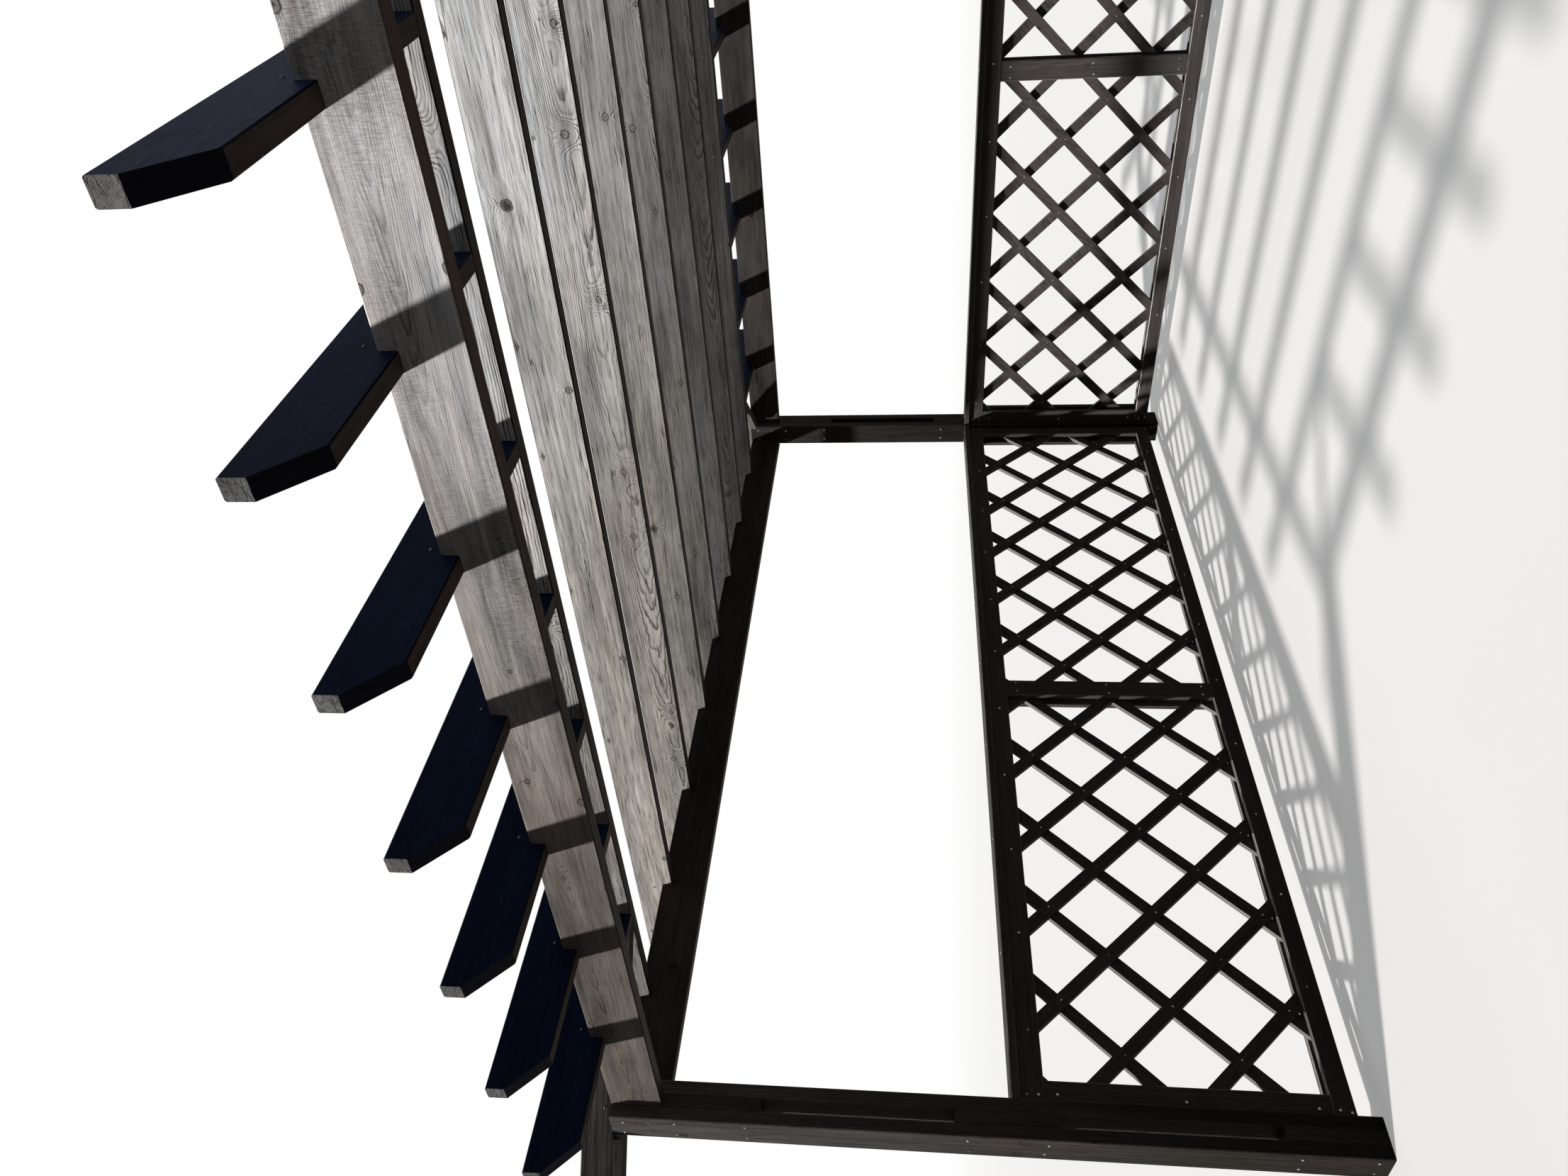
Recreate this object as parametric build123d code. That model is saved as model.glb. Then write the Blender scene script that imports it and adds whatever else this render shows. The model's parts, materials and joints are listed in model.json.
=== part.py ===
from build123d import *
import math
import os

# Timber sections, in millimetres
timber = 45              # thickness of every structural board
eased_edge = 3           # planed-off arris along the boards
beam_height = 170        # headers and side beams
rafter_height = 145      # rafters, tails and corner tails
plank_width = 120        # post planks and the blocks between them

# Plan: the front is at -Y, the origin is the middle of the plan on the ground
clear_width = 4170       # between the inner faces of the side beams
frame_depth = 4347       # over the outer faces of the two headers
post_outset = 30         # post planks stand out past the side beams' inner faces
overhang = 410           # rafters past the side beams, tails past the headers

# Heights
header_underside = 2260
seat_depth = 40          # notch of a rafter or tail over the beam that carries it
nose_height = 50         # upright part of a cut end, above its 45 degree slant

# Roof grid
rafter_count = 8
first_rafter_inset = 443  # from a header's outer face to the nearest rafter's outer face
tail_count = 8
first_tail_inset = 475   # from a side beam's inner face to the nearest tail's centre
corner_seat_play = 8     # room left round the post head in a corner tail's notch

# Blocks that space the two planks of a post
foot_block_height = 305
middle_block_base = 990
middle_block_height = 328
top_block_height = 320

# Fence panels
fence_clearance = 65     # from the ground to the bottom rails
fence_height = 1070      # from the bottom rails' lower edge to the cap's top
cap_width = 120
cap_thickness = 28
fence_board = 20         # thickness of rails and stiles
top_rail_height = 80
bottom_rail_height = 70
end_stile_width = 75
middle_stile_width = 95
side_middle_stile = 1920  # its centre, from the front posts

# Lattice between the two faces of a fence panel
strip_width = 48
strip_thickness = 19
lattice_pitch = 382      # between like strips, along the rail
lattice_inset = 10       # strips end short of the panel's outline
side_near_start = 292    # first strip's centre at the top rail's lower edge, inner layer
side_far_start = 81      # the same for the outer layer
rear_near_start = 86
rear_far_start = 161

# Places that follow from the sizes above
half_width = clear_width / 2
half_depth = frame_depth / 2
header_top = header_underside + beam_height
rafter_bottom = header_top - seat_depth
rafter_top = rafter_bottom + rafter_height
post_outer_x = half_width + post_outset
post_inner_x = post_outer_x - plank_width
post_centre_x = post_outer_x - plank_width / 2
post_outer_y = half_depth + timber
post_inner_y = half_depth - 2 * timber
post_centre_y = half_depth - timber / 2


def box_between(low, high):
    size = [b - a for a, b in zip(low, high)]
    middle = [(a + b) / 2 for a, b in zip(low, high)]
    return Pos(*middle) * Box(*size)


def board(low, high):
    # A board between two corners, its long edges eased all along
    size = [b - a for a, b in zip(low, high)]
    along = size.index(max(size))
    long_way = [Axis.X, Axis.Y, Axis.Z][along]
    solid = box_between(low, high)
    return chamfer(solid.edges().filter_by(long_way), eased_edge)


def mirror_x(solid):
    return mirror(solid, about=Plane.YZ)


def mirror_y(solid):
    return mirror(solid, about=Plane.XZ)


def spread(first, last, count):
    return [first + (last - first) * i / (count - 1) for i in range(count)]


# Posts: two planks with blocks between them, the top block under the header

def front_left_post():
    left, right = -post_outer_x, -post_inner_x
    outer_plank = board((left, -post_outer_y, 0), (right, -half_depth, header_top))
    inner_plank = board((left, -half_depth + timber, 0), (right, -post_inner_y, header_top))
    spans = [
        (0, foot_block_height),
        (middle_block_base, middle_block_base + middle_block_height),
        (header_underside - top_block_height, header_underside),
    ]
    blocks = Compound(children=[
        box_between((left, -half_depth, low), (right, -half_depth + timber, high)) for low, high in spans
    ])
    return {"outer_plank": outer_plank, "inner_plank": inner_plank, "spacer_blocks": blocks}


# Headers across the front and the rear, side beams between the posts

def front_header():
    return board(
        (-post_outer_x, -half_depth, header_underside),
        (post_outer_x, -half_depth + timber, header_top),
    )


def left_side_beam():
    return board(
        (-half_width - timber, -post_inner_y, header_underside),
        (-half_width, post_inner_y, header_top),
    )


# Roof boards, drawn in side view with the length along X

def roof_board(start, end, seats, end_is_cut=False):
    # From a cut end at start to end, notched over each seat, given as its two sides
    slant = rafter_height - nose_height
    outline = [(start, rafter_top), (start, rafter_top - nose_height), (start + slant, rafter_bottom)]
    if end_is_cut:
        outline += [(end - slant, rafter_bottom), (end, rafter_top - nose_height), (end, rafter_top)]
    else:
        outline += [(end, rafter_bottom), (end, rafter_top)]
    side_view = make_face(Polyline(*outline, close=True))
    for low, high in seats:
        side_view -= Pos((low + high) / 2, rafter_bottom) * Rectangle(high - low, 2 * seat_depth)
    sawn = extrude(Plane.XZ * side_view, timber, both=True)
    planed = board((start, -timber / 2, rafter_bottom), (end, timber / 2, rafter_top))
    return planed & sawn


def rafter():
    end = half_width + timber + overhang
    left_seat = (-half_width - timber, -half_width)
    right_seat = (half_width, half_width + timber)
    return roof_board(-end, end, [left_seat, right_seat], end_is_cut=True)


def front_tails():
    # Short boards over the header that butt against the first rafter
    header_seat = (-half_depth, -half_depth + timber)
    tail = roof_board(-half_depth - overhang, -half_depth + first_rafter_inset, [header_seat])
    outermost = half_width - first_tail_inset
    tail = Rot(0, 0, 90) * tail
    return Compound(children=[Pos(x, 0, 0) * tail for x in spread(-outermost, outermost, tail_count)])


def front_left_corner_tail():
    # At 45 degrees over the post head, into the corner between the first tail and the first rafter
    corner_x = -half_width + first_tail_inset - timber / 2
    corner_y = -half_depth + first_rafter_inset

    def distance(x, y):
        return (corner_x - x + corner_y - y) / math.sqrt(2)

    length = distance(corner_x, -half_depth - overhang) * 2 - timber / 2
    seat = (
        -distance(-post_outer_x, -post_outer_y) - corner_seat_play,
        -distance(-post_inner_x, -post_inner_y) + corner_seat_play,
    )
    tail = Pos(corner_x, corner_y, 0) * Rot(0, 0, 45) * roof_board(-length, timber, [seat])
    inside_corner = box_between(
        (corner_x - 2 * length, corner_y - 2 * length, rafter_bottom - timber),
        (corner_x, corner_y, rafter_top + timber),
    )
    return tail & inside_corner


# Fence panels, drawn seen from inside with their left end at X 0 and their middle plane at Y 0

def lattice_layer(length, start, rises, y_low, y_high):
    low, high = fence_clearance + lattice_inset, fence_clearance + fence_height - cap_thickness - lattice_inset
    rail_edge = fence_clearance + fence_height - cap_thickness - top_rail_height
    turn = 45 if rises else -45
    reach = fence_height * 3
    extra = math.ceil(fence_height / lattice_pitch)
    strips = Sketch()
    for i in range(-extra, math.ceil(length / lattice_pitch) + extra):
        strips += Pos(start + i * lattice_pitch, rail_edge) * Rot(0, 0, turn) * Rectangle(reach, strip_width)
    window = Pos(length / 2, (low + high) / 2) * Rectangle(length - 2 * lattice_inset, high - low)
    return Pos(0, y_high, 0) * extrude(Plane.XZ * (window & strips), y_high - y_low)


def fence_panel(length, middle_stile, near_start, far_start, near_rises):
    bottom = fence_clearance
    top = fence_clearance + fence_height - cap_thickness
    rail_top, rail_edge = bottom + bottom_rail_height, top - top_rail_height
    stiles = [
        (0, end_stile_width),
        (middle_stile - middle_stile_width / 2, middle_stile + middle_stile_width / 2),
        (length - end_stile_width, length),
    ]
    rail_boards, stile_boards = [], []
    for face in (-strip_thickness - fence_board, strip_thickness):
        rail_boards.append(board((0, face, bottom), (length, face + fence_board, rail_top)))
        rail_boards.append(board((0, face, rail_edge), (length, face + fence_board, top)))
        stile_boards += [
            board((low, face, rail_top), (high, face + fence_board, rail_edge)) for low, high in stiles
        ]
    near = lattice_layer(length, near_start, near_rises, -strip_thickness, 0)
    far = lattice_layer(length, far_start, not near_rises, 0, strip_thickness)
    lattice = (near + far).solids().sort_by(SortBy.VOLUME)[-1]  # without loose offcuts in the corners
    return {
        "cap": board((0, -cap_width / 2, top), (length, cap_width / 2, top + cap_thickness)),
        "rails": Compound(children=rail_boards),
        "stiles": Compound(children=stile_boards),
        "lattice": lattice,
    }


def left_fence():
    panel = fence_panel(2 * post_inner_y, side_middle_stile, side_near_start, side_far_start, near_rises=False)
    place = Pos(-post_centre_x, -post_inner_y, 0) * Rot(0, 0, 90)
    return {name: place * piece for name, piece in panel.items()}


def rear_fence():
    length = 2 * post_inner_x
    panel = fence_panel(length, length / 2, rear_near_start, rear_far_start, near_rises=True)
    return {name: Pos(-post_inner_x, post_centre_y, 0) * piece for name, piece in panel.items()}


def pergola():
    parts = {}
    for piece, solid in front_left_post().items():
        parts[f"front_left_post_{piece}"] = solid
        parts[f"front_right_post_{piece}"] = mirror_x(solid)
        parts[f"rear_left_post_{piece}"] = mirror_y(solid)
        parts[f"rear_right_post_{piece}"] = mirror_x(mirror_y(solid))
    parts["front_header"] = front_header()
    parts["rear_header"] = mirror_y(parts["front_header"])
    parts["left_side_beam"] = left_side_beam()
    parts["right_side_beam"] = mirror_x(parts["left_side_beam"])
    outermost = half_depth - first_rafter_inset - timber / 2
    for number, y in enumerate(spread(-outermost, outermost, rafter_count), start=1):
        parts[f"rafter_{number}"] = Pos(0, y, 0) * rafter()
    parts["front_tails"] = front_tails()
    parts["rear_tails"] = mirror_y(parts["front_tails"])
    corner = front_left_corner_tail()
    parts["front_left_corner_tail"] = corner
    parts["front_right_corner_tail"] = mirror_x(corner)
    parts["rear_left_corner_tail"] = mirror_y(corner)
    parts["rear_right_corner_tail"] = mirror_x(mirror_y(corner))
    for piece, solid in left_fence().items():
        parts[f"left_fence_{piece}"] = solid
        parts[f"right_fence_{piece}"] = mirror_x(solid)
    for piece, solid in rear_fence().items():
        parts[f"rear_fence_{piece}"] = solid
    return parts


os.makedirs("parts", exist_ok=True)
for name, solid in pergola().items():
    export_step(solid, f"parts/{name}.step")
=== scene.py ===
import json
import math
import random

import bpy
from mathutils import Matrix, Vector


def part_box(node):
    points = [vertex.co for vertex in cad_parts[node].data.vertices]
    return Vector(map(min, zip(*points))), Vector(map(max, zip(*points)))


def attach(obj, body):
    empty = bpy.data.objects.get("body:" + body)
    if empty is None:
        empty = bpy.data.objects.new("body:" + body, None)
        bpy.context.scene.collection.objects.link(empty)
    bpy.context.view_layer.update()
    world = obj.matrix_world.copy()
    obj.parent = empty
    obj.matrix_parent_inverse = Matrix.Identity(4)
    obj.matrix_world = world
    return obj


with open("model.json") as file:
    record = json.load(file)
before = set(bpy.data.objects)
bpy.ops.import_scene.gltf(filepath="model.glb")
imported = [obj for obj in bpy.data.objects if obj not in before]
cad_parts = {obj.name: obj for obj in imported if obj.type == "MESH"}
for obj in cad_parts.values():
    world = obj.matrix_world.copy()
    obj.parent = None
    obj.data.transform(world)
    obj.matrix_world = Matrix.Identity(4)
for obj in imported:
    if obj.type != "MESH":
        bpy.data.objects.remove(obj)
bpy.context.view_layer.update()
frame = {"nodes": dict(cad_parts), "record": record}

nodes = frame["nodes"]
bpy.ops.object.select_all(action="DESELECT")
scene = bpy.context.scene
scene.view_settings.view_transform = "Standard"
print("frame loaded:", len(nodes), "timber nodes")


# Camera: the photograph lies on its side, so its right edge is down and its upper edge is to the right

photo = {
    "width": 2212,
    "focalPixels": 1619.1,
    "eye": (1.6222, -3.9702, 1.4871),
    "yaw": 0.679,
    "pitch": 0.1046,
    "roll": 0.006,
    "sensor": 36,
    "farthest": 400,
}


def makeCamera():
    yaw, pitch, roll = photo["yaw"], photo["pitch"], photo["roll"]
    forward = Vector((-math.sin(yaw) * math.cos(pitch), math.cos(yaw) * math.cos(pitch), math.sin(pitch)))
    level = Vector((math.cos(yaw), math.sin(yaw), 0))
    upright = level.cross(forward)
    right = math.cos(roll) * level + math.sin(roll) * upright
    up = math.cos(roll) * upright - math.sin(roll) * level
    bpy.ops.object.camera_add()
    camera = bpy.context.object
    turn = Matrix((-up, right, -forward)).transposed().to_4x4()
    camera.matrix_world = Matrix.Translation(photo["eye"]) @ turn
    camera.data.sensor_fit = "HORIZONTAL"
    camera.data.sensor_width = photo["sensor"]
    camera.data.lens = photo["focalPixels"] / photo["width"] * photo["sensor"]
    camera.data.clip_end = photo["farthest"]
    scene.camera = camera


makeCamera()
print("camera set")


# Shader nodes, in short. putAfter, and all that uses it, finds its tree by the sockets it is given.

def newPaint(name):
    paint = bpy.data.materials.new(name)
    paint.use_nodes = True
    paint.node_tree.nodes.clear()
    return paint


def put(tree, kind, sockets=None, **settings):
    node = tree.nodes.new("ShaderNode" + kind)
    for name, value in settings.items():
        setattr(node, name, value)
    for name, value in (sockets or {}).items():
        if isinstance(value, bpy.types.NodeSocket):
            tree.links.new(value, node.inputs[name])
        else:
            node.inputs[name].default_value = value
    return node


def putAfter(kind, sockets, **settings):
    tree = next(value.id_data for value in sockets.values() if isinstance(value, bpy.types.NodeSocket))
    return put(tree, kind, sockets, **settings).outputs


def calc(operation, *values, clamp=False):
    return putAfter("Math", dict(enumerate(values)), operation=operation, use_clamp=clamp)[0]


def plus(first, *others, clamp=False):
    # Only the last sum is clamped
    *middle, last = others
    for value in middle:
        first = calc("ADD", first, value)
    return calc("ADD", first, last, clamp=clamp)


def minus(a, b, clamp=False):
    return calc("SUBTRACT", a, b, clamp=clamp)


def times(first, *others):
    for value in others:
        first = calc("MULTIPLY", first, value)
    return first


def bell(value, steepness):
    # Falls from 1 at zero towards nothing on either side
    return calc("EXPONENT", times(calc("POWER", value, 2.0), -steepness))


def ramp(value, low, high, start=0.0, end=1.0):
    sockets = {"Value": value, "From Min": low, "From Max": high, "To Min": start, "To Max": end}
    return putAfter("MapRange", sockets, interpolation_type="SMOOTHSTEP")[0]


def vector(x, y, z=0.0):
    return putAfter("CombineXYZ", {0: x, 1: y, 2: z})[0]


def vectorMath(operation, *values):
    return putAfter("VectorMath", dict(enumerate(values)), operation=operation)


def lengthOf(value):
    return vectorMath("LENGTH", value)["Value"]


def distanceAlong(way, point):
    return vectorMath("DOT_PRODUCT", point, way)["Value"]


def mixed(factor, a, b, mode="MIX"):
    # The node's colours are its inputs 6 and 7 and its output 2
    return putAfter("Mix", {0: factor, 6: a, 7: b}, data_type="RGBA", blend_type=mode)[2]


def tinted(colour, tint, factor=1.0):
    return mixed(factor, colour, tint, "MULTIPLY")


def grain(parts, detail=2.0, shift=None):
    # Noise between -0.5 and 0.5 on stretched coordinates
    place = vector(*parts)
    if shift is not None:
        place = vectorMath("ADD", place, shift)[0]
    return minus(putAfter("TexNoise", {"Vector": place, "Scale": 1.0, "Detail": detail})[0], 0.5)


def seenDirectly(tree):
    path = put(tree, "LightPath").outputs
    seen = calc("MAXIMUM", path["Is Camera Ray"], path["Is Glossy Ray"])
    return calc("MAXIMUM", seen, path["Is Transmission Ray"])


# Studio: a key light from the front left, a soft one from behind, a pale fill from all round, a pale floor

studio = {
    "key": {
        "travel": (0.46, 0.66, -1.0),
        "strength": 4.0,
        "angle": math.radians(3.0),
        "colour": (1.0, 0.985, 0.96),
    },
    "back": {
        "travel": (0.3, -0.9, -0.55),
        "strength": 1.1,
        "angle": math.radians(20.0),
        "colour": (0.94, 0.97, 1.0),
    },
    "lampHeight": 6,
    "white": (1, 1, 1, 1),
    "fillColour": (0.86, 0.93, 1.0, 1),
    "fillStrength": 0.045,
    "floorReach": 300,
    "floorFade": (6, 40),
    "floorGlow": 0.3,
    "floorSeen": (0.7, 0.695, 0.685, 1),
    "floorBounce": (0.075, 0.0715, 0.0675, 1),
}


def makeLamp(name):
    settings = studio[name]
    bpy.ops.object.light_add(type="SUN", location=(0, 0, studio["lampHeight"]))
    lamp = bpy.context.object
    lamp.name = name + "Light"
    lamp.rotation_euler = Vector(settings["travel"]).to_track_quat("-Z", "Y").to_euler()
    lamp.data.energy = settings["strength"]
    lamp.data.angle = settings["angle"]
    lamp.data.color = settings["colour"]


def makePaleRoom():
    # Looks white, but lights the timber only faintly
    world = bpy.data.worlds.new("paleRoom")
    world.use_nodes = True
    scene.world = world
    tree = world.node_tree
    tree.nodes.clear()
    fill = put(tree, "Background", {"Color": studio["fillColour"], "Strength": studio["fillStrength"]})
    white = put(tree, "Background", {"Color": studio["white"], "Strength": 1.0})
    both = putAfter("MixShader", {0: seenDirectly(tree), 1: fill.outputs[0], 2: white.outputs[0]})[0]
    put(tree, "OutputWorld", {"Surface": both})


def makePaleFloor():
    # Fades into the room's white with distance
    bpy.ops.mesh.primitive_plane_add(size=studio["floorReach"])
    floor = bpy.context.object
    floor.name = "studioFloor"
    paint = newPaint("paleFloor")
    tree = paint.node_tree
    seen = seenDirectly(tree)
    matt = putAfter("BsdfDiffuse", {"Color": mixed(seen, studio["floorBounce"], studio["floorSeen"])})[0]
    away = lengthOf(put(tree, "TexCoord").outputs["Object"])
    fade = times(ramp(away, *studio["floorFade"], studio["floorGlow"], 1.0), seen)
    white = put(tree, "Emission", {"Color": studio["white"], "Strength": 1.0}).outputs[0]
    both = putAfter("MixShader", {0: fade, 1: matt, 2: white})[0]
    put(tree, "OutputMaterial", {"Surface": both})
    floor.data.materials.append(paint)


makeLamp("key")
makeLamp("back")
makePaleRoom()
makePaleFloor()
print("studio set")


# Wood: a solid pattern of growth rings, knots, checks and saw marks, laid along each board.
# A point is told by its metres along, across and through the board, from the board's middle.

sides = ("along", "across", "through")
seedSpread = (97.0, 53.0, 31.0)  # how far one board's pattern lies from another's
endFacing = (0.5, 0.65)  # how squarely a face looks along the board before it counts as a sawn end
noises = {  # waves per metre along, across and through the board, and the finer layers on them
    "swirl": ((1.3, 12.0, 12.0), 1.0),
    "ripple": ((16.0, 36.0, 36.0), 2.0),
    "fibre": ((11.0, 420.0, 420.0), 3.0),
    "dash": ((13.0, 320.0, 320.0), 1.0),
    "streak": ((1.6, 95.0, 95.0), 3.0),
    "patch": ((1.3, 8.0, 8.0), 3.0),
    "mottle": ((6.0, 24.0, 24.0), 4.0),
    "hue": ((2.3, 21.0, 21.0), 3.0),
    "sideCheck": ((1.5, 48.0, 48.0), 1.0),
    "endCheck": ((9.0, 55.0, 14.0), 2.0),
    "saw": ((600.0, 70.0, 70.0), 1.0),
}


def boardNoise(board, name):
    waves, detail = noises[name]
    return grain([times(board[side], wave) for side, wave in zip(sides, waves)], detail, board["shift"])


def patchOf(board, patch):
    # Where marks show at all, the same all through the board
    alongWaves, acrossWaves = patch["waves"]
    parts = (times(board["along"], alongWaves), times(board["across"], acrossWaves), patch["slice"])
    return ramp(grain(parts, patch["detail"], board["shift"]), *patch["edge"])


def readBoard(given):
    along, across, through = putAfter("SeparateXYZ", {0: given["Board"]})
    facing = vectorMath("ABSOLUTE", given["Facing"])[0]
    endwise, edgewise, flatwise = putAfter("SeparateXYZ", {0: facing})
    return {
        "along": along,
        "across": across,
        "through": through,
        "edgewise": edgewise,
        "flatwise": flatwise,
        "onEnd": ramp(endwise, *endFacing),
        "seed": given["Seed"],
        "shift": vector(*(times(given["Seed"], spread) for spread in seedSpread)),
    }


# The heart of the tree wanders beside and below the board, and the rings lie round it

heart = {  # how far it lies off in metres, from least to least and spread, and wanders on the way
    "aside": {
        "waves": 0.7, "slice": (3.0, 0.0), "wander": 0.16, "turns": 3.7, "spread": 0.34, "least": -0.17,
    },
    "below": {
        "waves": 0.5, "slice": (9.0, 4.0), "wander": 0.03, "turns": 7.31, "spread": 0.09, "least": 0.06,
    },
    "taper": {"turns": 5.1, "spread": 0.025, "least": 0.02},
    "swirl": 0.013,
    "ripple": 0.0045,
}


def heartDistance(board):
    def luckOf(way):
        # Differs from board to board
        return plus(times(calc("FRACT", times(board["seed"], way["turns"])), way["spread"]), way["least"])

    def wanderOf(way):
        parts = (times(board["along"], way["waves"]), *way["slice"])
        return plus(times(grain(parts, 1.0, board["shift"]), way["wander"]), luckOf(way))

    aside = minus(board["across"], wanderOf(heart["aside"]))
    below = plus(board["through"], wanderOf(heart["below"]))
    radius = lengthOf(vector(aside, below))
    for bend in ("swirl", "ripple"):
        radius = plus(radius, times(boardNoise(board, bend), heart[bend]))
    return minus(radius, times(board["along"], luckOf(heart["taper"])))


# Knots, at most one to a cell of the board's face. Rings part round them, and dark wood smears from them.

knots = {  # radii and cells in metres, edges in shares of the knot's radius
    "cell": (0.36, 0.17),
    "cellShift": (71.0, 29.0),
    "scatter": 0.8,
    "least": 0.005,
    "spread": 0.01,
    "wobble": {"waves": (75.0, 95.0, 20.0), "size": 0.009},
    "flatFace": (0.75, 0.95),
    "parting": {"steepness": 0.1, "size": 2.2},
    "edge": (1.05, 0.85),
    "rimInside": (0.72, 0.95),
    "rimOutside": (1.28, 1.02),
    "pith": {"edge": (0.3, 0.1), "depth": 0.7},
    "hollow": {"edge": (0.8, 0.6), "ragged": 0.5, "largest": 0.7},
    "smear": {"stretch": (0.3, 1.5, 0), "steepness": 1.2},
    "ringsPerMetre": 3600.0,
}


def makeKnots(board, given):
    long, wide = knots["cell"]
    point = vector(*(
        plus(times(board[side], 1 / size), times(board["seed"], shift))
        for side, size, shift in zip(sides, knots["cell"], knots["cellShift"])
    ))
    sockets = {"Vector": point, "Scale": 1.0, "Randomness": knots["scatter"]}
    cells = putAfter("TexVoronoi", sockets, voronoi_dimensions="2D")
    offset = vectorMath("SUBTRACT", cells["Position"], point)[0]
    offset = vectorMath("MULTIPLY", offset, (long, wide, 0))[0]
    wobble = grain([times(board[side], wave) for side, wave in zip(sides, knots["wobble"]["waves"])])
    distance = plus(lengthOf(offset), times(wobble, knots["wobble"]["size"]))
    luck, size, _ = putAfter("SeparateColor", {0: cells["Color"]})
    chosen = calc("LESS_THAN", luck, given["Knots"])
    present = times(chosen, ramp(board["flatwise"], *knots["flatFace"]))
    radius = plus(times(size, knots["spread"]), knots["least"])
    nearness = calc("DIVIDE", distance, radius)

    parting, pith, hollow, smear = knots["parting"], knots["pith"], knots["hollow"], knots["smear"]
    whole = times(ramp(nearness, *knots["edge"]), present)
    middle = times(ramp(nearness, *pith["edge"]), present, pith["depth"])
    ragged = plus(nearness, times(wobble, hollow["ragged"]))
    opened = times(ramp(ragged, *hollow["edge"]), present, calc("GREATER_THAN", size, hollow["largest"]))
    stretched = lengthOf(vectorMath("MULTIPLY", offset, smear["stretch"])[0])
    smeared = bell(calc("DIVIDE", stretched, radius), smear["steepness"])
    return {
        "parting": times(bell(nearness, parting["steepness"]), chosen, radius, parting["size"]),
        "knot": whole,
        "rim": times(ramp(nearness, *knots["rimInside"]), ramp(nearness, *knots["rimOutside"]), present),
        "knotHeart": calc("MAXIMUM", opened, middle),
        "smear": times(smeared, present, minus(1.0, whole)),
        "knotRings": calc("SINE", times(distance, knots["ringsPerMetre"])),
    }


# Growth rings: a slow rise to the dark late wood, then a sharp drop

rings = {
    "aboveZero": 100.0,  # added to a ring's number, so that none is below zero
    "rise": (0.38, 0.9),
    "drop": (1.0, 0.92),
    "luckWaves": (0.37, 1.4, 6.0),  # per ring, and per metre along and across
    "luckRange": (-0.2, 0.18, 0.3, 1.0),
    "fadedOnEnds": 0.5,
}


def makeLateWood(board, radius, given):
    count = calc("DIVIDE", radius, given["Ring Width"])
    share = calc("FRACT", plus(count, rings["aboveZero"]))
    late = times(ramp(share, *rings["rise"]), ramp(share, *rings["drop"]))
    place = (count, board["along"], board["across"])
    parts = [times(value, wave) for value, wave in zip(place, rings["luckWaves"])]
    luck = ramp(grain(parts, 1.0, board["shift"]), *rings["luckRange"])
    return times(late, luck, given["Figure"], minus(1.0, times(board["onEnd"], rings["fadedOnEnds"])))


# Checks: broken dark lines along the grain, and short ones down the sawn ends

checks = {
    "sideLine": (0.012, 0.004),
    "sidePatch": {"waves": (2.6, 15.0), "slice": 7.0, "detail": 1.0, "edge": (0.02, 0.16)},
    "endLine": (0.03, 0.008),
    "endDepth": 0.8,
}


def makeChecks(board, given):
    line = ramp(calc("ABSOLUTE", boardNoise(board, "sideCheck")), *checks["sideLine"])
    side = times(line, patchOf(board, checks["sidePatch"]), minus(1.0, board["onEnd"]))
    line = ramp(calc("ABSOLUTE", boardNoise(board, "endCheck")), *checks["endLine"])
    end = times(line, board["onEnd"], checks["endDepth"])
    return times(plus(side, end, clamp=True), given["Checks"])


# Marks of the saw, square to the grain, come and go along the board

sawPatch = {"waves": (1.7, 5.0), "slice": 2.0, "detail": 2.0, "edge": (-0.1, 0.14)}


def makeSawMarks(board, given):
    return times(boardNoise(board, "saw"), patchOf(board, sawPatch), given["Saw Marks"])


# Stain, weather and painted light: faces turned towards the key light (upwards on the fence) take the pale,
# weather-bleached colour, with a painted sheen that rises from one end of the board to the other; faces
# turned away keep their stain, in colours darkened as painted shade; Level lays painted shade of trees over
# whole boards

tone = {  # how much each mark darkens bleached wood towards its dark colour
    "late": 0.85,
    "fibre": 1.25,
    "smear": 0.45,
    "dashEdge": (0.08, 0.2),
    "least": 0.08,
}
weatherAndPaintedLight = {
    "yellow": {"hue": (-0.02, 0.25, 0.0, 0.55), "tint": (1.08, 0.985, 0.9, 1)},
    "blue": {"hue": (-0.02, -0.25, 0.0, 0.6), "tint": (0.93, 0.99, 1.07, 1)},
    # the painted sheen rises along the board between these metres and levels
    "run": (-1.3, 1.5, 0.15, 1.48),  # from and to these metres along the board, between these levels
    "evenRun": 0.6,
    # where the painted sheen is weak, the stain's warm brown shows
    "warmBelow": 1.15,
    "warmTint": (1.07, 0.97, 0.86, 1),
    "underFacing": (0.55, 0.95),
    "stainBase": 1.2,
    "stainTone": 0.6,
    # Level mixes towards the dark colour times this, as painted shade of trees
    "treeShadeTint": (0.35, 0.35, 0.35, 1),
    # how squarely a face must look towards the light before it leaves the stain painted as shade
    "reach": (0.1, 0.5),
}


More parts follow.
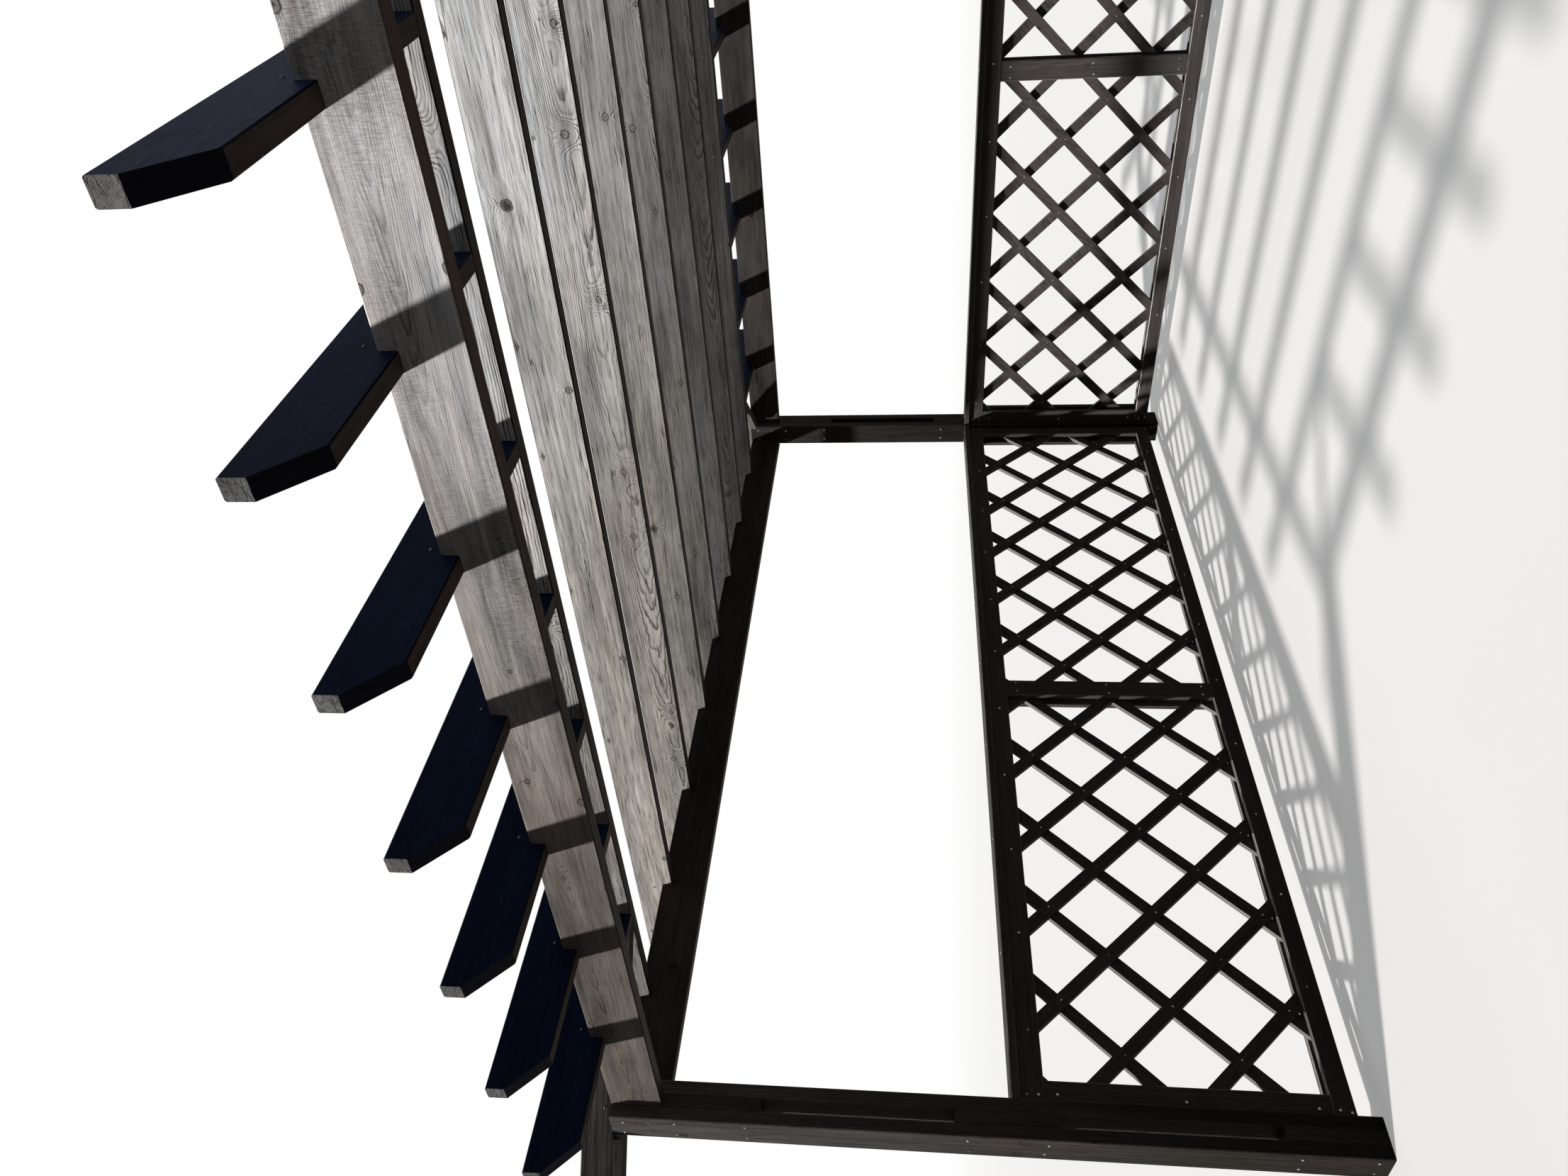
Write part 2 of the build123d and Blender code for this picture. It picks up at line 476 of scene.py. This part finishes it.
def weatherAndPaintedLightColour(board, given, marks, run, facingLightAndWeather):
    dash = ramp(boardNoise(board, "dash"), *tone["dashEdge"])
    darkness = plus(
        times(marks["late"], tone["late"]), times(marks["fibre"], tone["fibre"]),
        times(dash, given["Dashes"]), times(marks["smear"], tone["smear"]), clamp=True,
    )
    darkness = plus(darkness, tone["least"], clamp=True)
    colour = mixed(darkness, given["Pale"], given["Dark"])
    hue = boardNoise(board, "hue")
    for cast in ("yellow", "blue"):
        colour = tinted(colour, weatherAndPaintedLight[cast]["tint"], ramp(hue, *weatherAndPaintedLight[cast]["hue"]))
    warm = times(minus(weatherAndPaintedLight["warmBelow"], run, clamp=True), given["SheenSlope"])
    colour = tinted(colour, weatherAndPaintedLight["warmTint"], warm)
    # Faces turned from the light keep the stain, brown below, in colours painted dark as their shade
    shadedStain = mixed(ramp(given["Down"], *weatherAndPaintedLight["underFacing"]), given["StainInShade"], given["Under"])
    shadedStain = tinted(shadedStain, minus(weatherAndPaintedLight["stainBase"], times(darkness, weatherAndPaintedLight["stainTone"])))
    # Level lays painted shade of trees over the whole board
    colour = mixed(given["Level"], tinted(given["Dark"], weatherAndPaintedLight["treeShadeTint"]), colour)
    return mixed(facingLightAndWeather, shadedStain, colour)


# Lightness: patches, streaks, mottle, saw marks, a painted sheen rising along the board, dark ends, arrises
# lightened by wear or darkened as painted shade, and darker tops

levels = {  # facings run from -1 to 1, and the last two numbers of four are the levels between them
    "endsDarker": 0.74,
    "edgeFacing": (0.3, 0.42),
    "edgeBreaks": (-0.22, 0.05, 0.35, 1.0),
    "topFacing": (-0.95, -0.75, 0.55, 1.0),  # faces that look up are darker
}


def weatherAndSheenLevel(board, given, marks, run):
    streak = boardNoise(board, "streak")
    level = plus(
        1.0, times(boardNoise(board, "patch"), given["Patches"]), times(streak, given["Streaks"]),
        times(boardNoise(board, "mottle"), given["Mottle"]), marks["saw"],
    )
    # painted sheen, rising from one end of the board to the other
    sheenLevel = plus(1.0, times(minus(run, weatherAndPaintedLight["evenRun"]), given["SheenSlope"]))
    ends = minus(1.0, times(board["onEnd"], levels["endsDarker"]))
    # arrises are lightened by wear, or darkened as painted shade where the value is negative
    onEdge = ramp(times(board["edgewise"], board["flatwise"]), *levels["edgeFacing"])
    arrisWearAndShade = times(onEdge, ramp(streak, *levels["edgeBreaks"]), given["EdgeWearAndShade"])
    return times(level, sheenLevel, ends, plus(1.0, arrisWearAndShade), ramp(given["Down"], *levels["topFacing"]))


# Dark marks: knots, their rims and hearts, and the checks

darkening = {
    "knotBase": 0.9,
    "knotRings": 0.3,
    "knot": 0.75,
    "rim": 0.75,
    "check": 0.85,
    "knotHeart": 0.9,
    "most": 0.85,
}


def darkMarks(colour, given, marks, facingLightAndWeather):
    ringed = plus(darkening["knotBase"], times(marks["knotRings"], darkening["knotRings"]))
    shown = times(marks["knot"], facingLightAndWeather, given["Level"], darkening["knot"])
    colour = mixed(shown, colour, tinted(given["Knot"], ringed))
    dark = plus(*(times(marks[mark], darkening[mark]) for mark in ("rim", "check", "knotHeart")), clamp=True)
    return tinted(colour, minus(1.0, times(dark, darkening["most"])))


# The whole wood, as one group of nodes that every board's finish uses

relief = {  # how far each mark stands up or lies below the face
    "late": 0.3,
    "fibre": 0.5,
    "saw": 0.3,
    "check": -1.6,
    "rim": -0.8,
    "knotHeart": -1.5,
    "bump": {"Strength": 0.8, "Distance": 0.0012},
    "roughFibre": 0.25,
}
woodSockets = {
    "Vector": ("Board", "Facing"),
    "Color": ("Pale", "Dark", "StainInShade", "Under", "Knot"),
    "Float": (
        "LightAndWeather", "Down", "Seed", "Ring Width", "Figure", "Patches", "Mottle", "Streaks", "Knots",
        "SheenSlope", "Level", "Checks", "Saw Marks", "Dashes", "EdgeWearAndShade", "Roughness",
    ),
}


def makeStainedPine():
    tree = bpy.data.node_groups.new("stainedPine", "ShaderNodeTree")
    for kind, names in woodSockets.items():
        for name in names:
            tree.interface.new_socket(name, in_out="INPUT", socket_type="NodeSocket" + kind)
    for name, kind in (("Color", "Color"), ("Roughness", "Float"), ("Normal", "Vector")):
        tree.interface.new_socket(name, in_out="OUTPUT", socket_type="NodeSocket" + kind)
    given = tree.nodes.new("NodeGroupInput").outputs
    board = readBoard(given)
    marks = makeKnots(board, given)
    radius = plus(heartDistance(board), marks["parting"])
    marks["late"] = makeLateWood(board, radius, given)
    marks["fibre"] = boardNoise(board, "fibre")
    marks["check"] = makeChecks(board, given)
    marks["saw"] = makeSawMarks(board, given)

    run = ramp(board["along"], *weatherAndPaintedLight["run"])
    # how squarely the face looks towards the light; away from it the stain is painted as shade
    facingLightAndWeather = ramp(given["LightAndWeather"], *weatherAndPaintedLight["reach"])
    colour = weatherAndPaintedLightColour(board, given, marks, run, facingLightAndWeather)
    colour = tinted(colour, weatherAndSheenLevel(board, given, marks, run))
    colour = darkMarks(colour, given, marks, facingLightAndWeather)
    raised = ("late", "fibre", "saw", "check", "rim", "knotHeart")
    height = plus(*(times(marks[mark], relief[mark]) for mark in raised))
    bump = putAfter("Bump", {"Height": height, **relief["bump"]})[0]
    rough = plus(given["Roughness"], times(marks["fibre"], relief["roughFibre"]))
    finished = tree.nodes.new("NodeGroupOutput")
    for socket, value in zip(finished.inputs, (colour, rough, bump)):
        tree.links.new(value, socket)
    return tree


stainedPine = makeStainedPine()


# Finishes: colours and strengths of marks for each kind of timber

finishes = {
    "post_wood": {
        "Pale": (0.068, 0.062, 0.058, 1), "Dark": (0.016, 0.014, 0.013, 1),
        "StainInShade": (0.062, 0.053, 0.049, 1), "Under": (0.04, 0.032, 0.026, 1),
        "Knot": (0.06, 0.048, 0.038, 1), "Ring Width": 0.0034, "Figure": 0.7,
        "Patches": 0.9, "Mottle": 0.5, "Streaks": 1.1, "Knots": 0.5,
        "Checks": 1.0, "Saw Marks": 0.2, "Dashes": 0.5, "EdgeWearAndShade": 1.1, "Roughness": 0.62,
    },
    "beam_wood": {
        "Pale": (0.364, 0.361, 0.367, 1), "Dark": (0.09, 0.07, 0.056, 1),
        "StainInShade": (0.047, 0.04, 0.036, 1), "Under": (0.06, 0.043, 0.034, 1),
        "Knot": (0.16, 0.135, 0.115, 1), "Ring Width": 0.0036, "Figure": 0.55,
        "Patches": 2.0, "Mottle": 1.2, "Streaks": 1.0, "Knots": 0.75,
        "Checks": 0.4, "Saw Marks": 1.0, "Dashes": 0.28, "EdgeWearAndShade": 0.6, "Roughness": 0.6,
    },
    "roof_wood": {
        "Pale": (0.74, 0.732, 0.722, 1), "Dark": (0.07, 0.067, 0.064, 1),
        "StainInShade": (0.02, 0.0205, 0.023, 1), "Under": (0.055, 0.041, 0.033, 1),
        "Knot": (0.2, 0.172, 0.148, 1), "Ring Width": 0.0032, "Figure": 0.95,
        "Patches": 1.6, "Mottle": 0.9, "Streaks": 1.15, "Knots": 0.85,
        # a negative edge wear paints shade along the roof boards' arrises
        "Checks": 0.8, "Saw Marks": 0.25, "Dashes": 0.5, "EdgeWearAndShade": -0.85, "Roughness": 0.6,
    },
    "corner_tail_wood": {
        "Pale": (0.23, 0.222, 0.21, 1), "Dark": (0.045, 0.042, 0.039, 1),
        "StainInShade": (0.094, 0.088, 0.085, 1), "Under": (0.06, 0.045, 0.035, 1),
        "Knot": (0.08, 0.066, 0.055, 1), "Ring Width": 0.0062, "Figure": 1.0,
        "Patches": 1.0, "Mottle": 0.8, "Streaks": 2.4, "Knots": 0.5,
        "Checks": 1.0, "Saw Marks": 0.1, "Dashes": 0.5, "EdgeWearAndShade": 0.5, "Roughness": 0.75,
    },
    "fence_wood": {
        "Pale": (0.26, 0.25, 0.235, 1), "Dark": (0.12, 0.11, 0.1, 1),
        "StainInShade": (0.092, 0.081, 0.076, 1), "Under": (0.035, 0.029, 0.024, 1),
        "Knot": (0.04, 0.033, 0.028, 1), "Ring Width": 0.0034, "Figure": 0.8,
        "Patches": 0.8, "Mottle": 0.5, "Streaks": 0.9, "Knots": 0.5,
        "Checks": 0.5, "Saw Marks": 0.2, "Dashes": 0.5, "EdgeWearAndShade": 1.4, "Roughness": 0.55,
    },
}
# The tails' sides turned from the light are painted navy: painted shade with a painted reflection of blue
# sky. The other roof boards' shade colour has a little of that blue too.
finishes["tails"] = dict(finishes["roof_wood"], StainInShade=(0.010, 0.019, 0.052, 1))
finishes["fence_cap"] = dict(
    finishes["fence_wood"], Pale=(0.06, 0.059, 0.057, 1), Dark=(0.03, 0.028, 0.026, 1),
)
specular = 0.025  # stained timber hardly shines

# The way a face must look to take the pale, weather-bleached colour instead of the stain painted dark as
# shade: towards the key light on posts, beams and roof, and upwards on the fence, where it also paints the
# upper edges light and the faces in shade dark
lightAndWeatherSide = {
    "post_wood": Vector((-0.3, -0.75, 0.6)),
    "beam_wood": Vector((-0.3, -0.65, 0.7)),
    "roof_wood": Vector((-0.3, -0.65, 0.7)),
    "corner_tail_wood": Vector((-0.3, -0.65, 0.7)),
    "fence_wood": Vector((-0.1, 0.0, 0.75)),
}

# How steeply a painted sheen rises from one end of a board to the other (on the posts it only darkens the
# foot), and how much painted shade of trees lies over a board, from 1 for none down to nearly black
paintedSheen = {
    "posts": 0.9, "front_header": 1.25,
    "rafter_1": 0.5, "rafter_2": 0.55, "rafter_3": 0.55, "rafter_4": 0.5, "rafter_5": 0.5,
}
# painted shade of trees, darkest on the rear rafters, rear header, rear tails and rear posts
paintedTreeShade = {
    "rafter_1": 0.76, "rafter_3": 0.85, "rafter_4": 0.6, "rafter_5": 0.35, "rafter_6": 0.17, "rafter_7": 0.1,
    "rafter_8": 0.07, "rear_header": 0.1, "rear_tails": 0.25, "rear_posts": 0.35,
}


def lookOf(name, slot):
    look = dict(finishes[slot], SheenSlope=paintedSheen.get(name, 0.0), Level=paintedTreeShade.get(name, 1.0))
    if name.endswith("_tails"):
        look.update(finishes["tails"])
    if name.endswith("_cap"):
        look.update(finishes["fence_cap"])
    if "_post_" in name:
        look["SheenSlope"] = paintedSheen["posts"]
        if name.startswith("rear"):
            look["Level"] = paintedTreeShade["rear_posts"]
    return look


# Lay: which way a node's boards run, and the cells of space that tell its boards apart

axisX, axisY, axisZ = Vector((1, 0, 0)), Vector((0, 1, 0)), Vector((0, 0, 1))
boardCells = {  # where the first cell starts, and how long each is
    "blocks": {"along": (0.0, 0.8)},
    "tails": {"through": (-1.84, 0.46)},
    "rails": {"across": (0.0, 0.6)},
    "stiles": {"across": (-2.1, 1.4)},
    "lattice": {"across": (0.0, 0.27)},
    "fenceFace": 0.06,  # one cell on either side of a fence's middle plane
}
seeds = {  # the first node's number, and the steps from node to node, layer to layer and cell to cell
    "first": 0.137, "node": 0.618, "layer": 0.43, "along": 0.771, "across": 0.317, "through": 0.613,
}


def fenceWays(name):
    # Along the fence, and through it
    return (axisX, axisY) if name.startswith("rear") else (axisY, axisX)


def layOf(name):
    run, through = fenceWays(name)
    if "corner_tail" in name:
        side = -1 if "left" in name else 1
        end = -1 if "front" in name else 1
        outward = Vector((side, end, 0)).normalized()
        return outward, axisZ, outward.cross(axisZ), {}
    if "spacer_blocks" in name:
        return axisZ, axisX, axisY, boardCells["blocks"]
    if "_post_" in name:
        return axisZ, axisX, axisY, {}
    if name.endswith("tails"):
        return axisY, axisZ, axisX, boardCells["tails"]
    if name.endswith("_cap"):
        return run, through, axisZ, {}
    if name.endswith(("_rails", "_stiles")):
        low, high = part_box(name)
        face = ((low + high).dot(through) / 2 - boardCells["fenceFace"], boardCells["fenceFace"])
        if name.endswith("_rails"):
            return run, axisZ, through, dict(boardCells["rails"], through=face)
        return axisZ, run, through, dict(boardCells["stiles"], through=face)
    if name.endswith("side_beam"):
        return axisY, axisZ, axisX, {}
    return axisX, axisZ, axisY, {}


def layOfLattice(name, place, middle):
    # The strips run at 45 degrees, the other way in the second layer.
    # The node's vectors are its inputs 4 and 5 and its output 1.
    run, through = fenceWays(name)
    layer = calc("GREATER_THAN", minus(distanceAlong(through, place), middle.dot(through)), 0.0)
    ways = [(axisZ - run).normalized(), (run + axisZ).normalized()]
    if not name.startswith("right"):
        ways.reverse()
    along, across = (
        putAfter("Mix", {0: layer, 4: first, 5: second}, data_type="VECTOR")[1]
        for first, second in (ways, ways[::-1])
    )
    return along, across, through, layer


def dress(name, number, slot):
    paint = newPaint(name + "_finish")
    tree = paint.node_tree
    place = put(tree, "TexCoord").outputs
    low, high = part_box(name)
    middle = (low + high) / 2
    seed = math.fmod(seeds["first"] + number * seeds["node"], 1.0)
    if name.endswith("_lattice"):
        *ways, layer = layOfLattice(name, place["Object"], middle)
        boards = boardCells["lattice"]
        middle = Vector()
        seed = plus(seed, times(layer, seeds["layer"]))
    else:
        *ways, boards = layOf(name)

    distances = []
    for side, way in zip(sides, ways):
        distance = distanceAlong(way, place["Object"])
        if side in boards:
            start, pitch = boards[side]
            distance = minus(distance, start)
            index = calc("FLOOR", calc("DIVIDE", distance, pitch))
            distance = minus(distance, times(plus(index, 0.5), pitch))
            seed = plus(seed, times(index, seeds[side]))
        elif isinstance(way, Vector):
            distance = minus(distance, middle.dot(way))
        distances.append(distance)

    wood = tree.nodes.new("ShaderNodeGroup")
    wood.node_tree = stainedPine
    for socket, value in {
        "Board": vector(*distances),
        "Facing": vector(*(distanceAlong(way, place["Normal"]) for way in ways)),
        "Down": distanceAlong(-axisZ, place["Normal"]),
        # how squarely the face looks towards the light, for the painted shade
        "LightAndWeather": distanceAlong(lightAndWeatherSide[slot], place["Normal"]),
        "Seed": put(tree, "Math", {0: seed}, operation="FRACT").outputs[0],
    }.items():
        tree.links.new(value, wood.inputs[socket])
    for socket, value in lookOf(name, slot).items():
        wood.inputs[socket].default_value = value
    finish = wood.outputs
    shader = putAfter("BsdfPrincipled", {
        "Base Color": finish["Color"], "Roughness": finish["Roughness"], "Normal": finish["Normal"],
        "Specular IOR Level": specular,
    })[0]
    put(tree, "OutputMaterial", {"Surface": shader})
    timber = nodes[name]
    timber.data.materials.clear()
    timber.data.materials.append(paint)


slotOf = {row["node"]: row["material_slot"] for row in frame["record"]["subparts"]}
for number, name in enumerate(sorted(nodes)):
    dress(name, number, slotOf[name])
print("timber dressed")


# Nails: one galvanised nail, copied to wherever two boards are fastened

nail = {  # in metres, where not said otherwise
    "radius": 0.0042,
    "height": 0.0013,
    "rim": 0.0005,
    "rimSteps": 2,
    "crown": 0.4,  # width of the slope up to the domed middle, as a share of the radius
    "dome": 0.0004,
    "shank": 0.0017,
    "shankLength": 0.006,
    "sides": 12,
    "smooth": math.radians(35),
    "fromEnd": 0.042,
    "fromEdge": 0.028,
    "wander": 0.005,
    "lean": 0.07,
}
luck = random.Random(11)


def pickFaces(piece, wanted):
    bpy.ops.object.mode_set(mode="EDIT")
    bpy.ops.mesh.select_mode(type="FACE")
    bpy.ops.mesh.select_all(action="DESELECT")
    bpy.ops.object.mode_set(mode="OBJECT")
    for face in piece.data.polygons:
        face.select = wanted(face)
    bpy.ops.object.mode_set(mode="EDIT")


def looksUp(face):
    return face.normal.z > 0.9


def looksDown(face):
    return face.normal.z < -0.9


def makeNail():
    size = {"vertices": nail["sides"], "radius": nail["radius"], "depth": 2 * nail["height"]}
    bpy.ops.mesh.primitive_cylinder_add(**size)
    piece = bpy.context.object
    pickFaces(piece, looksUp)
    bpy.ops.mesh.bevel(offset=nail["rim"], segments=nail["rimSteps"])
    pickFaces(piece, lambda face: looksUp(face) and face.area > nail["radius"] ** 2)
    bpy.ops.mesh.inset(thickness=nail["radius"] * nail["crown"])
    bpy.ops.transform.translate(value=(0, 0, nail["dome"]))
    pickFaces(piece, looksDown)
    bpy.ops.mesh.inset(thickness=nail["radius"] - nail["shank"])
    bpy.ops.mesh.extrude_region_move(TRANSFORM_OT_translate={"value": (0, 0, -nail["shankLength"])})
    bpy.ops.object.mode_set(mode="OBJECT")
    bpy.ops.object.shade_smooth_by_angle(angle=nail["smooth"])
    return piece


# Two copies of one zinc: a pale one painted as if lit, for the nails of posts and fence, and a dark one
# painted as shade, for the nails under the roof; the rust is the nails' own
zinc = {
    "bright": (0.46, 0.46, 0.45, 1),
    "paintedShade": (0.09, 0.085, 0.08, 1),
    "rust": (0.13, 0.07, 0.04, 1),
    "rustWaves": 9.0,
    "rustEdge": (-0.02, 0.14),
    "speckWaves": 900.0,
    "speckRust": 0.8,
    "bump": {"Strength": 0.5, "Distance": 0.0003},
    "metal": {"Metallic": 0.55, "Roughness": 0.5},
}


def makeZinc(paintedLight):
    paint = newPaint(paintedLight + "Zinc")
    tree = paint.node_tree
    spot = putAfter("SeparateXYZ", {0: put(tree, "TexCoord").outputs["Object"]})
    speck = grain([times(part, zinc["speckWaves"]) for part in spot])
    rusty = ramp(grain([times(part, zinc["rustWaves"]) for part in spot]), *zinc["rustEdge"])
    rusty = plus(rusty, times(speck, zinc["speckRust"]), clamp=True)
    bump = putAfter("Bump", {"Height": speck, **zinc["bump"]})[0]
    colour = mixed(rusty, zinc[paintedLight], zinc["rust"])
    shader = putAfter("BsdfPrincipled", {"Base Color": colour, "Normal": bump, **zinc["metal"]})[0]
    put(tree, "OutputMaterial", {"Surface": shader})
    return paint


def wander():
    return luck.uniform(-1, 1) * nail["wander"]


def driveNails(name, spots, paint):
    # Joins a copy of the nail at each spot, given as a point, the way out of the wood and a size
    copies = []
    for point, outward, size in spots:
        lean = Vector([luck.uniform(-1, 1) for _ in range(3)]) * nail["lean"]
        copy = loneNail.copy()
        copy.data = loneNail.data.copy()
        scene.collection.objects.link(copy)
        turn = (outward + lean).to_track_quat("Z", "Y").to_matrix().to_4x4()
        copy.matrix_world = Matrix.Translation(point) @ turn @ Matrix.Scale(size, 4)
        copies.append(copy)
    bpy.ops.object.select_all(action="DESELECT")
    for copy in copies:
        copy.select_set(True)
    bpy.context.view_layer.objects.active = copies[0]
    bpy.ops.object.join()
    bpy.ops.object.transform_apply(location=True, rotation=True, scale=True)
    piece = bpy.context.object
    piece.name = name
    piece.data.materials.clear()
    piece.data.materials.append(paint)
    bpy.ops.object.select_all(action="DESELECT")
    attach(piece, "root")


def fromEnds(low, high, inset):
    return low + inset, high - inset


def postNails(end, side):
    # Pairs through both planks into each block and into the header
    post = end + "_" + side + "_post_"
    outer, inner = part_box(post + "outer_plank"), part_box(post + "inner_plank")
    heights = sorted({round(v.co.z, 4) for v in nodes[post + "spacer_blocks"].data.vertices})
    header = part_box(end + "_header")
    spans = list(zip(heights[::2], heights[1::2])) + [(header[0].z, header[1].z)]
    faces = [(outer[0].y, -1), (inner[1].y, 1)] if end == "front" else [(outer[1].y, 1), (inner[0].y, -1)]
    spots = []
    for low, high in spans:
        for z in fromEnds(low, high, nail["fromEnd"]):
            for x in fromEnds(outer[0].x, outer[1].x, nail["fromEdge"]):
                for y, out in faces:
                    spots.append((Vector((x + wander(), y, z + wander())), Vector((0, out, 0)), 1))
    return spots


# Fence nails: small ones where strips cross, others through strips, stiles and caps into the rails

fence = {  # in metres, where not said otherwise
    "pitch": 0.382,  # between like strips, along the rail
    "side": (0.292, 0.081),  # the first inner and the first outer strip, where they meet the top rail
    "rear": (0.086, 0.161),
    "extraStrips": 4,
    "smallNail": 0.7,  # its share of a nail's size
    "clearOfEnd": 0.1,
    "clearOfStile": 0.06,
    "clearOfRail": 0.02,
    "middleShare": (0.2, 0.8),  # the middle stile stands between these shares of the length
    "railEnd": 0.022,
    "railPair": 0.018,
    "stileEnd": 0.025,
    "stilePair": 0.026,
    "capNails": 9,
    "capEnd": 0.04,
    "capPair": 0.03,
}


def measureFence(side):
    rails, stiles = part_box(side + "_fence_rails"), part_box(side + "_fence_stiles")
    strips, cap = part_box(side + "_fence_lattice"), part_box(side + "_fence_cap")
    run, inward = {"left": (axisY, axisX), "right": (axisY, -axisX), "rear": (axisX, -axisY)}[side]
    start, length = rails[0].dot(run), (rails[1] - rails[0]).dot(run)
    middle = (rails[0] + rails[1]) / 2
    base = middle - run * middle.dot(run) + run * start
    base.z = 0
    insides = [v.co.dot(run) - start for v in nodes[side + "_fence_stiles"].data.vertices]
    low, high = (share * length for share in fence["middleShare"])
    insides = [inside for inside in insides if low < inside < high]
    return {
        "run": run,
        "inward": inward,
        "base": base,
        "length": length,
        "stiles": (stiles[0].z, stiles[1].z),
        "rails": ((rails[0].z + stiles[0].z) / 2, (stiles[1].z + rails[1].z) / 2),
        "face": abs((rails[1] - rails[0]).dot(inward)) / 2,
        "stripFace": abs((strips[1] - strips[0]).dot(inward)) / 2,
        "capTop": cap[1].z,
        "middleStile": (min(insides) + max(insides)) / 2,
    }


def fenceSpot(panel, along, z, depth, size=1):
    out = panel["inward"] if depth > 0 else -panel["inward"]
    point = panel["base"] + panel["run"] * (along + wander()) + axisZ * (z + wander())
    return point + panel["inward"] * depth, out, size


def latticeNails(side, panel):
    near, far = fence["rear" if side == "rear" else "side"]
    slope = 1 if side == "rear" else -1
    pitch, extra, length = fence["pitch"], fence["extraStrips"], panel["length"]
    (low, high), face = panel["stiles"], panel["face"]
    reach = range(-extra, math.ceil(length / pitch) + extra)

    def clearOfEnds(along):
        return fence["clearOfEnd"] < along < length - fence["clearOfEnd"]

    spots = []
    for i in reach:
        nearStart = near + i * pitch
        for j in reach:
            farStart = far + j * pitch
            along, z = (nearStart + farStart) / 2, high + slope * (farStart - nearStart) / 2
            clear = clearOfEnds(along) and abs(along - panel["middleStile"]) > fence["clearOfStile"]
            if clear and low + fence["clearOfRail"] < z < high - fence["clearOfRail"]:
                spots.append(fenceSpot(panel, along, z, panel["stripFace"], fence["smallNail"]))
        for rail in panel["rails"]:
            for begin, lean, depth in ((nearStart, slope, face), (far + i * pitch, -slope, -face)):
                along = begin + (rail - high) * lean
                if clearOfEnds(along):
                    spots.append(fenceSpot(panel, along, rail, depth))
    return spots


def frameNails(panel):
    length, (low, high) = panel["length"], panel["stiles"]
    middle, pair = panel["middleStile"], fence["stilePair"]
    spots = []
    for depth in (panel["face"], -panel["face"]):
        for z in panel["rails"]:
            for along in fromEnds(0, length, fence["railEnd"]):
                for step in (-fence["railPair"], fence["railPair"]):
                    spots.append(fenceSpot(panel, along, z + step, depth))
        for z in (low + nail["fromEnd"], (low + high) / 2, high - nail["fromEnd"]):
            for along in (*fromEnds(0, length, fence["stileEnd"]), middle - pair, middle + pair):
                spots.append(fenceSpot(panel, along, z, depth))
    return spots


def capNails(panel):
    spots = []
    for step in range(fence["capNails"]):
        along = fence["capEnd"] + (panel["length"] - 2 * fence["capEnd"]) * step / (fence["capNails"] - 1)
        for across in (-fence["capPair"], fence["capPair"]):
            spot = panel["base"] + panel["run"] * (along + wander()) + panel["inward"] * (across + wander())
            spot.z = panel["capTop"]
            spots.append((spot, axisZ, 1))
    return spots


def fenceNails(side):
    panel = measureFence(side)
    return latticeNails(side, panel) + frameNails(panel) + capNails(panel)


# Roof nails: skew ones where rafters and tails cross the beams, straight ones through end rafters into tails

roof = {
    "rafters": sorted(name for name in nodes if name.startswith("rafter_")),
    "tails": 8,
    "skew": math.radians(38),
    "skewHeight": 0.032,  # where a skew nail goes in, above the beam
}


def skewed(point, out):
    return point, out * math.cos(roof["skew"]) + axisZ * math.sin(roof["skew"]), 1


def rafterNails(foot):
    beams = [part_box(side + "_side_beam") for side in ("left", "right")]
    spots = []
    for low, high in map(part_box, roof["rafters"]):
        for beam in beams:
            x = (beam[0].x + beam[1].x) / 2
            for y, out in ((low.y, -1), (high.y, 1)):
                spots.append(skewed(Vector((x + wander(), y, foot + wander())), Vector((0, out, 0))))
    return spots


def tailNails(end, foot):
    header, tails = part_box(end + "_header"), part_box(end + "_tails")
    low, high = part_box(roof["rafters"][0 if end == "front" else -1])
    half = (high.y - low.y) / 2
    face, inward = (high.y, 1) if end == "front" else (low.y, -1)
    y = (header[0].y + header[1].y) / 2
    first, last = fromEnds(tails[0].x, tails[1].x, half)
    spots = []
    for step in range(roof["tails"]):
        x = first + (last - first) * step / (roof["tails"] - 1)
        for out in (-1, 1):
            spot = Vector((x + out * half, y + wander(), foot + wander()))
            spots.append(skewed(spot, Vector((out, 0, 0))))
        for z in fromEnds(low.z, high.z, nail["fromEnd"]):
            spots.append((Vector((x + wander(), face, z + wander())), Vector((0, inward, 0)), 1))
    for side in ("left", "right"):
        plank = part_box(end + "_" + side + "_post_outer_plank")
        head = Vector(((plank[0].x + plank[1].x) / 2, y, foot))
        across = layOf(end + "_" + side + "_corner_tail")[2]
        for out in (-1, 1):
            spots.append(skewed(head + across * out * half, across * out))
    return spots


def roofNails():
    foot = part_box("front_header")[1].z + roof["skewHeight"]
    return rafterNails(foot) + tailNails("front", foot) + tailNails("rear", foot)


loneNail = makeNail()
# pale zinc painted as lit for posts and fence, dark zinc painted as shade for the roof
brightZinc, shadedNailZinc = makeZinc("bright"), makeZinc("paintedShade")
for end in ("front", "rear"):
    for side in ("left", "right"):
        driveNails(end + "_" + side + "_post_nails", postNails(end, side), brightZinc)
for side in ("left", "right", "rear"):
    driveNails(side + "_fence_nails", fenceNails(side), brightZinc)
driveNails("roof_nails", roofNails(), shadedNailZinc)
bpy.data.objects.remove(loneNail)
print("nails driven")
